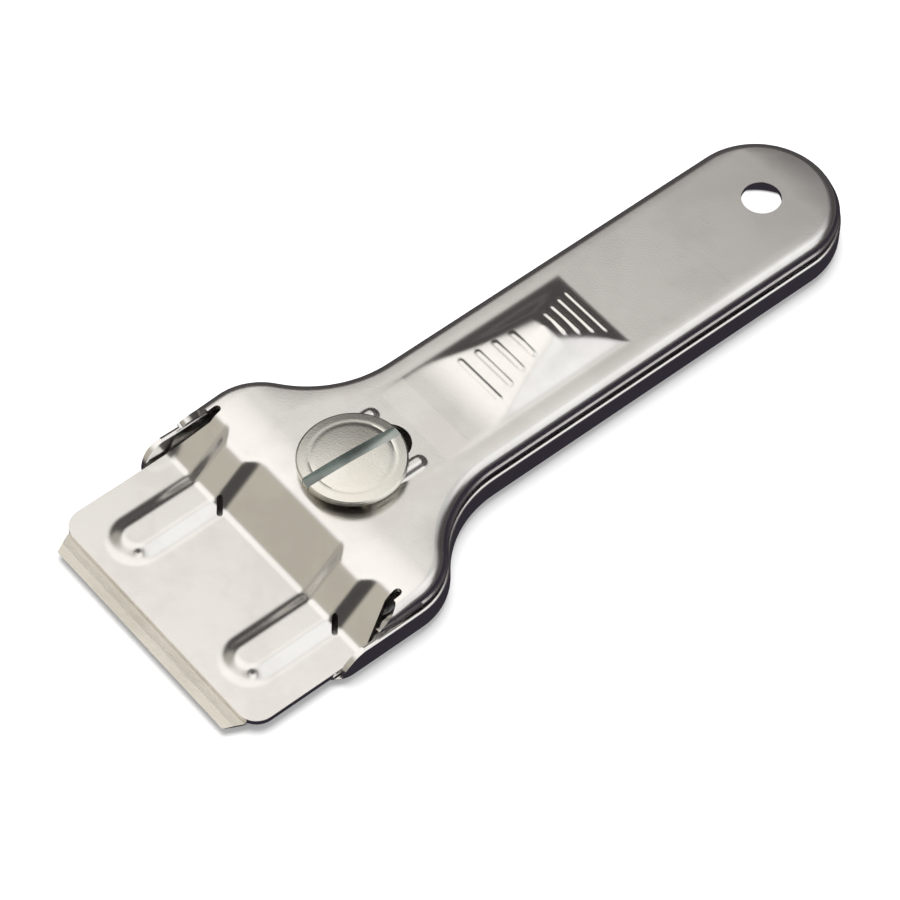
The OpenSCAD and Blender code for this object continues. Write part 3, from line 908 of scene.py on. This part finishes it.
    def channel(self, x: float, y: float) -> float:
        """Gives the height of a channel over the sheet.

        Args:
            x: Place across the tool.
            y: Place along the tool.

        Returns:
            The height, 0 beside the channels.
        """
        away = abs(x) - self.channel_x
        reach = math.hypot(away, min(y - self.channel_nose, 0.0))
        slope = self.channel_h / (self.channel_foot - self.channel_crown)
        rise = soft_max((self.channel_foot - reach) * slope, 0.0, self.channel_blend[0])
        return soft_min(rise, self.channel_h, self.channel_blend[1])

    def level(self, y: float) -> float:
        """Gives the flat's height, which bows down a little towards the crest of the step.

        Args:
            y: Place along the tool.

        Returns:
            The height.
        """
        run = min(max((self.bow_from - y) / self.bow_run, 0.0), self.bow_reach)
        return self.top - self.bow * (run * run if run < 1 else 2 * run - 1)

    def step(self, x: float, y: float) -> float:
        """Gives the height of plate, step and flat.

        Args:
            x: Place across the blank.
            y: Place along the blank.

        Returns:
            The height.
        """
        slope = (self.top - self.plate_top) / self.step_run
        rib = self.channel(x, y)
        climb = self.plate_top + (y - self.step_y) * slope + rib * math.hypot(1, slope)
        at_foot, at_crest = self.step_blend
        formed = soft_min(soft_max(self.plate_top + rib, climb, at_foot), self.level(y), at_crest)
        if y <= self.tongue_y - self.near:
            return formed
        share = min(max((abs(x) - self.step_half) / (self.tongue_in - self.step_half), 0.0), 1.0)
        return formed + (self.level(y) - formed) * share

    def thumb_rest(self, x: float, y: float) -> float:
        """Gives the height of the hip-roofed thumb rest over the flat.

        Args:
            x: Place across the tool.
            y: Place along the tool.

        Returns:
            The height, 0 beside the rest.
        """
        start, ridge, end = self.ramp_blend
        front = (y - self.ridge_y + self.front_ramp) * self.rest_h / self.front_ramp
        rear = (self.ridge_y + self.rear_ramp - y) * self.rest_h / self.rear_ramp
        flank = (self.rest_w / 2 - abs(x)) * self.rest_h * 2 / (self.rest_w - self.ridge_w)
        ramp = soft_max(soft_min(soft_max(front, 0.0, start), rear, ridge), 0.0, end)
        side = soft_max(flank, 0.0, self.flank_blend)
        power = self.hip_power
        return ramp * side / max((ramp**power + side**power) ** (1 / power), 1e-6)

    def ribs(self, x: float, y: float) -> float:
        """Gives the height of the grip ribs over the ramps.

        Args:
            x: Place across the tool.
            y: Place along the tool.

        Returns:
            The height, 0 beside the ribs.
        """
        height = 0.0
        at_front, at_rear = self.rib_shares
        ramps = ((-1, self.front_ramp, self.front_ribs, at_front), (1, self.rear_ramp, self.rear_ribs, at_rear))
        for sign, run, (first, pitch), share in ramps:
            for i in range(self.rib_count):
                down = first + pitch * i
                half = self.ridge_w / 2 + (self.rest_w - self.ridge_w) / 2 * down / run - self.rib_inset
                centre = self.ridge_y + sign * down
                end = half - self.rib_w / 2
                reach = from_segment(x, y, (-end, centre), (end, centre))[0] / (self.rib_w / 2)
                height = max(height, self.rib_h * share * max(1 - reach * reach, 0.0) ** self.rib_fall)
        return height

    def rails(self, x: float, y: float) -> float:
        """Gives the height of the two rails over the flat.

        Args:
            x: Place across the tool.
            y: Place along the tool.

        Returns:
            The height, 0 beside the rails.
        """
        first = SCREW_Y - self.rail_front + self.rail_w / 2
        last = SCREW_Y + self.rail_back - self.rail_w / 2
        reach = from_segment(abs(x), y, (self.rail_x, first), (self.rail_x, last))[0]
        rise = soft_max((self.rail_w / 2 - reach) * self.rail_slope, 0.0, self.rail_blend[0])
        return soft_min(rise, self.rail_h, self.rail_blend[1])

    def mark(self, x: float, y: float) -> float:
        """Gives the depth of the punch marks beside the channels' noses.

        Args:
            x: Place across the tool.
            y: Place along the tool.

        Returns:
            The depth, near 0 away from the marks.
        """
        depth = 0.0
        for side in (-1, 1):
            reach = math.hypot(x - side * self.channel_x - self.mark_at[0], y - self.mark_at[1])
            depth += self.mark_depth * math.exp(-((reach / self.mark_r) ** 2))
        return depth

    def height(self, x: float, y: float) -> float:
        """Gives the height of the formed sheet's outer face.

        Args:
            x: Place across the blank.
            y: Place along the blank.

        Returns:
            The height.
        """
        if y < self.rails_from:
            return self.step(x, y) - self.mark(x, y)
        if y < self.rest_from:
            return self.level(y) + self.rails(x, y)
        return self.top + self.thumb_rest(x, y) + self.ribs(x, y)

    def form(self, mesh: BMesh) -> None:
        """Presses the gridded blank to its heights.

        Args:
            mesh: Gridded blank.
        """
        for vert in mesh.verts:
            x, y, _ = vert.co
            vert.co = (self.widened(x, y), y, self.height(x, y))

    def edge_profile(self) -> List[Point]:
        """Lists the rolled edge's section, outward and up, below the flat.

        Returns:
            The points from the flat's edge down to the rim.
        """
        rim = self.top - self.depth
        profile = []
        for i in range(1, self.roll_steps + 1):
            angle = math.radians(90 * i / self.roll_steps)
            profile.append((self.roll * math.sin(angle), self.top - self.roll + self.roll * math.cos(angle)))
        return profile + [(self.roll + out, rim + up) for out, up in self.lip]

    def roll_edge(self, mesh: BMesh, rim: List[BMEdge]) -> None:
        """Rolls the edge down round the outline.

        Args:
            mesh: Formed sheet.
            rim: Edges of the flat that the wall hangs from.
        """
        base = mesh.verts.layers.float_vector.new("base")
        out = mesh.verts.layers.float_vector.new("out")
        for vert in {v for e in rim for v in e.verts}:
            direction = self.outline.outward(vert.co.x, vert.co.y)
            vert[base] = (vert.co.x, vert.co.y, 0.0)
            vert[out] = (direction.x, direction.y, 0.0)
        for outward, z in self.edge_profile():
            made = bmesh.ops.extrude_edge_only(mesh, edges=rim)["geom"]
            rim = [g for g in made if isinstance(g, BMEdge) and g.is_boundary]
            share = (z - self.top + self.depth) / self.depth
            for vert in (g for g in made if isinstance(g, BMVert)):
                down = (self.top - self.level(vert[base].y)) * share
                flare = max(outward - self.roll, 0.0) * min((vert[base].y - self.tongue_y) / self.lip_run, 1.0)
                reach = min(outward, self.roll) + flare
                vert.co = Vector(vert[base]) + Vector(vert[out]) * reach + Vector((0, 0, z - down))

    def rim_edges(self, mesh: BMesh) -> List[BMEdge]:
        """Finds the flat's edges that the wall hangs from.

        Args:
            mesh: Gridded blank.

        Returns:
            The edges.
        """
        side = self.outline.head_half - self.roll - self.near
        rear = self.outline.shoulder_y - self.near

        def on_rim(vert: BMVert) -> bool:
            """Tells whether a vertex lies on the outline behind the tongues' tips."""
            return vert.co.y > self.tongue_y - self.near and (abs(vert.co.x) > side or vert.co.y > rear)

        return [e for e in mesh.edges if e.is_boundary and all(on_rim(v) for v in e.verts)]

    def trim_tongues(self, mesh: BMesh) -> None:
        """Cuts the front of the walls to two tongues with blunt tips.

        Args:
            mesh: Formed cover with its walls.
        """
        drop, run = self.depth, self.step_y + self.step_run - self.tongue_y
        rim = self.top - drop
        diagonal = ((0, self.tongue_y, rim), (0, -drop, run))
        blunt = ((0, self.tongue_y + self.tongue_blunt, rim), (0, -1, 0))
        for place, normal in (diagonal, blunt):
            geometry = parts_of([f for f in mesh.faces if self.in_tongue(f)])
            bmesh.ops.bisect_plane(
                mesh, geom=geometry, dist=MERGE, plane_co=place, plane_no=normal, clear_outer=True
            )
        edges = dict.fromkeys(e for f in mesh.faces if self.in_tongue(f) for e in f.edges)
        bmesh.ops.dissolve_degenerate(mesh, dist=self.sliver, edges=list(edges))

    def in_tongue(self, face: BMFace) -> bool:
        """Tells whether a face belongs to a tongue or the wall behind it.

        Args:
            face: Face of the formed cover.

        Returns:
            True if it does.
        """
        middle, near = face.calc_center_median(), self.near
        return abs(middle.x) > self.tongue_in - near and self.tongue_y - near < middle.y < self.outline.shoulder_y

    def build(self, material: Material) -> Object:
        """Builds the cover and puts it in place of its plain solid.

        Args:
            material: Finish of the sheet.

        Returns:
            The finished cover.
        """
        mesh = bmesh.new()
        self.blank(mesh)
        self.grid(mesh)
        rim = self.rim_edges(mesh)
        self.open_all(mesh)
        self.form(mesh)
        self.roll_edge(mesh, rim)
        self.trim_tongues(mesh)
        bmesh.ops.remove_doubles(mesh, verts=mesh.verts, dist=MERGE)
        bmesh.ops.recalc_face_normals(mesh, faces=mesh.faces)
        if max(mesh.faces, key=lambda f: f.calc_area()).normal.z < 0:
            bmesh.ops.reverse_faces(mesh, faces=mesh.faces)
        place = Matrix.Scale(MM, 4) @ Matrix.Translation((0, -OVERALL_L / 2, 0))
        bmesh.ops.transform(mesh, matrix=place, verts=mesh.verts)
        cover = to_object(mesh, "formed_cover", [material])
        wall = cover.modifiers.new("sheet", "SOLIDIFY")
        wall.thickness = self.sheet * MM
        wall.offset = -1.0
        ease(cover, self.edge_w, 2, Limit.ANGLE, self.edge_turn)
        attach(cover, "cover_body")
        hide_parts("sliding_cover")
        return cover


@dataclass
class ClampScrew:
    """Turned clamp screw with a crowned, coin-slotted head."""

    head_d: float = 16.3
    head_t: float = 1.75
    head_z: float = 10.1
    head_chamfer: float = 0.25
    under_chamfer: float = 0.45
    shank_d: float = 5.9
    shank_z: float = 0.4
    shank_chamfer: float = 0.3
    groove_d: float = 4.4
    groove_z: Pair = (0.95, 1.65)
    dial_d: float = 12.4
    dial_w: float = 0.3
    dial_groove: float = 0.07
    slot_w: float = 1.8
    slot_depth: float = 1.3
    disc_r: float = 40.0
    slot_turn: float = -4.0
    crown: float = 0.005
    tilt: float = 0.055
    crown_rings: Tuple[float, ...] = (0.1, 0.3, 0.5, 0.7, 0.9, 1.0)
    dial_rim: float = 0.4
    facets: int = 96
    edge_w: float = 0.05
    edge_turn: float = 20.0
    near: float = 0.01

    def profile(self) -> List[Point]:
        """Lists the half section from the tip to the middle of the head.

        Returns:
            The points, each a radius and a height.
        """
        shank, head, top = self.shank_d / 2, self.head_d / 2, self.head_z + self.head_t
        low, high = self.groove_z
        dial = self.dial_d / 2
        points = [
            (0.0, self.shank_z),
            (shank - self.shank_chamfer, self.shank_z),
            (shank, self.shank_z + self.shank_chamfer),
            (shank, low),
            (self.groove_d / 2, low),
            (self.groove_d / 2, high),
            (shank, high),
            (shank, self.head_z),
            (head - self.under_chamfer, self.head_z),
            (head, self.head_z + self.under_chamfer),
            (head, top - self.head_chamfer),
            (head - self.head_chamfer, top),
            (dial + self.dial_w + self.dial_rim, top),
            (dial + self.dial_w, top),
            (dial, top - self.dial_groove),
            (dial - self.dial_w, top),
        ]
        inner = dial - self.dial_w
        return points + [(inner - share * inner, top) for share in self.crown_rings]

    def cut_slot(self, mesh: BMesh) -> None:
        """Sinks the coin slot into the head, along Y.

        Args:
            mesh: Turned screw, its axis at the origin.
        """
        top, half = self.head_z + self.head_t, self.slot_w / 2
        end = self.floor(self.head_d / 2)
        for place, normal in (((half, 0, 0), (1, 0, 0)), ((-half, 0, 0), (1, 0, 0)), ((0, 0, end), (0, 0, 1))):
            bmesh.ops.bisect_plane(mesh, geom=all_of(mesh), dist=MERGE, plane_co=place, plane_no=normal)
        strip = []
        for face in mesh.faces:
            middle = face.calc_center_median()
            if abs(middle.x) < half and middle.z > end + MERGE and middle.z > top - self.slot_depth:
                strip.append(face)
        made = bmesh.ops.extrude_face_region(mesh, geom=strip, use_keep_orig=True)["geom"]
        for vert in (g for g in made if isinstance(g, BMVert)):
            vert.co.z = min(vert.co.z, self.floor(vert.co.y))
        bmesh.ops.delete(mesh, geom=strip, context="FACES")

    def floor(self, y: float) -> float:
        """Gives the height of the slot's floor, which a milling disc leaves hollow."""
        return self.head_z + self.head_t - self.slot_depth + self.disc_r - math.sqrt(self.disc_r**2 - y * y)

    def finish_and_shade_slot(self, mesh: BMesh) -> None:
        """Gives the inside of the slot the second finish, milled steel darkened as painted shade.

        Args:
            mesh: Slotted screw.
        """
        half, top = self.slot_w / 2, self.head_z + self.head_t
        end = self.head_d / 2 - 2 * self.near
        for face in mesh.faces:
            middle = face.calc_center_median()
            across = abs(middle.x) < half + self.near / 10 and abs(middle.y) < end
            face.material_index = int(across and top - self.slot_depth - self.near < middle.z < top - 2 * self.near)

    def crown_head(self, mesh: BMesh) -> None:
        """Lowers the head's top towards its rim.

        Args:
            mesh: Slotted screw.
        """
        floor = self.head_z + self.head_t - self.slot_depth
        for vert in mesh.verts:
            if vert.co.z > floor - self.near:
                share = min((vert.co.z - floor) / self.slot_depth, 1.0)
                radius = math.hypot(vert.co.x, vert.co.y)
                tilt = self.tilt * max(abs(vert.co.x) - self.slot_w / 2, 0.0)
                vert.co.z -= share * (self.crown * radius * radius + tilt)

    def build(self, finishes: Sequence[Material]) -> Object:
        """Builds the screw and puts it in place of its plain solid.

        Args:
            finishes: Finish of the turned faces, and the slot's milled finish darkened as painted shade.

        Returns:
            The finished screw.
        """
        mesh = bmesh.new()
        verts = [mesh.verts.new((radius, 0, z)) for radius, z in self.profile()]
        edges = [mesh.edges.new(pair) for pair in zip(verts, verts[1:])]
        bmesh.ops.spin(
            mesh, geom=verts + edges, cent=(0, 0, 0), axis=(0, 0, 1), angle=math.tau, steps=self.facets, use_merge=True
        )
        bmesh.ops.remove_doubles(mesh, verts=mesh.verts, dist=MERGE)
        self.cut_slot(mesh)
        bmesh.ops.remove_doubles(mesh, verts=mesh.verts, dist=MERGE)
        bmesh.ops.dissolve_degenerate(mesh, edges=mesh.edges, dist=MERGE)
        bmesh.ops.recalc_face_normals(mesh, faces=mesh.faces)
        self.finish_and_shade_slot(mesh)
        self.crown_head(mesh)
        place = (
            Matrix.Scale(MM, 4)
            @ Matrix.Translation((0, SCREW_Y - OVERALL_L / 2, 0))
            @ Matrix.Rotation(math.radians(self.slot_turn), 4, "Z")
        )
        bmesh.ops.transform(mesh, matrix=place, verts=mesh.verts)
        screw = to_object(mesh, "turned_screw", finishes)
        ease(screw, self.edge_w, 2, Limit.ANGLE, self.edge_turn)
        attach(screw, "screw_body")
        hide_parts("clamp_screw")
        return screw


def turning(nodes: Nodes, scale: float = 4200.0, depth: float = 0.004) -> NodeSocket:
    """Makes the fine rings that turning leaves on the screw.

    Args:
        nodes: Helper of the material's tree.
        scale: Noise scale along the radius, per metre.
        depth: Depth of the rings in millimetres.

    Returns:
        The height's socket, in millimetres.
    """
    reach = nodes.distance(in_frame(SCREW_Y))
    noise = nodes.add("ShaderNodeTexNoise", noise_dimensions="1D", in_W=reach, in_Scale=scale, in_Detail=2.0)
    return nodes.math("MULTIPLY", noise.outputs["Fac"], depth)


SHEET = Metal("plated_sheet", (0.88, 0.865, 0.84), (0.83, 0.81, 0.785), 0.23, 0.10, (4200, 4200, 4200), 0.10)
BLADE = Metal("blade_steel", (0.80, 0.77, 0.69), (0.74, 0.71, 0.63), 0.36, 0.10, (900, 9000, 900), 0.35)
TURNED = Metal("turned_steel", (0.62, 0.62, 0.61), (0.55, 0.55, 0.54), 0.30, 0.10, (3000, 3000, 3000), 0.2)
SCREW = Metal("screw_steel", (0.86, 0.845, 0.79), (0.80, 0.78, 0.71), 0.22, 0.08, (3000, 3000, 3000), 0.12, turning)
# Milled finish of the coin slot, darker than the screw as painted shade inside the slot.
SLOT_MILLED_AND_SHADED = Metal("milled_slot_painted_shade", (0.50, 0.55, 0.52), (0.34, 0.37, 0.355), 0.42, 0.10, (500, 500, 6000), 0.3)


@dataclass
class EasedPiece:
    """Piece whose rim is eased, made from a copy of its plain solid."""

    node: str
    body: str
    slot: str
    rim_z: float
    ease: float
    segments: int = 3
    sharp: float = 35.0
    flat: float = 0.5
    merge: float = 0.002
    near: float = 0.02

    def build(self, material: Material) -> Object:
        """Copies the solid, eases its edges and puts the copy in its place.

        Args:
            material: Finish of the piece.

        Returns:
            The finished piece.
        """
        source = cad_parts[self.node]
        mesh = bmesh.new()
        mesh.from_mesh(source.data)
        bmesh.ops.transform(mesh, matrix=source.matrix_world, verts=mesh.verts)
        bmesh.ops.remove_doubles(mesh, verts=mesh.verts, dist=self.merge * MM)
        bmesh.ops.recalc_face_normals(mesh, faces=mesh.faces)
        bmesh.ops.dissolve_limit(mesh, angle_limit=math.radians(self.flat), verts=mesh.verts, edges=mesh.edges)
        weight = mesh.edges.layers.float.new("bevel_weight_edge")
        for edge in mesh.edges:
            on_rim = all(abs(v.co.z - self.rim_z * MM) < self.near * MM for v in edge.verts)
            if edge.calc_face_angle(0.0) > math.radians(self.sharp):
                edge[weight] = float(on_rim)
                edge.smooth = on_rim
        piece = to_object(mesh, f"eased_{self.node}", [material])
        ease(piece, self.ease, self.segments, Limit.WEIGHT, self.sharp).use_clamp_overlap = False
        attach(piece, self.body)
        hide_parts(self.node)
        return piece


def dress(material: Material, names: List[str]) -> None:
    """Gives CAD nodes one finish.

    Args:
        material: Finish to give.
        names: Names of the nodes.
    """
    for name in names:
        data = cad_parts[name].data
        data.materials.clear()
        data.materials.append(material)
        LOG.info("%s: %s", name, material.name)


def corners(box: Tuple[Vector, Vector]) -> List[List[float]]:
    """Turns a box into plain lists."""
    return [list(box[0]), list(box[1])]


def main() -> None:
    """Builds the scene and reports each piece."""
    logging.basicConfig(level=logging.INFO, format="%(name)s: %(message)s")
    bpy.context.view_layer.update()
    LOG.info("studio: %s", ", ".join(Studio().build()))
    effects = Effects()
    sheet = SHEET.build(effects)
    cover = SlidingCover().build(sheet)
    tray = EasedPiece("tray", "tray_body", "plated_sheet", rim_z=5.4, ease=0.43).build(sheet)
    screw = ClampScrew().build([SCREW.build(effects), SLOT_MILLED_AND_SHADED.build(effects)])
    for piece in (cover, tray, screw):
        LOG.info("%s: %d faces", piece.name, len(piece.data.polygons))
    dress(sheet, ["blade_bed"])
    dress(BLADE.build(effects), ["blade"])
    dress(
        TURNED.build(effects),
        ["left_peg", "right_peg", "left_rivet", "right_rivet", "threaded_bush", "retaining_ring"],
    )


if __name__ == "__main__":
    main()
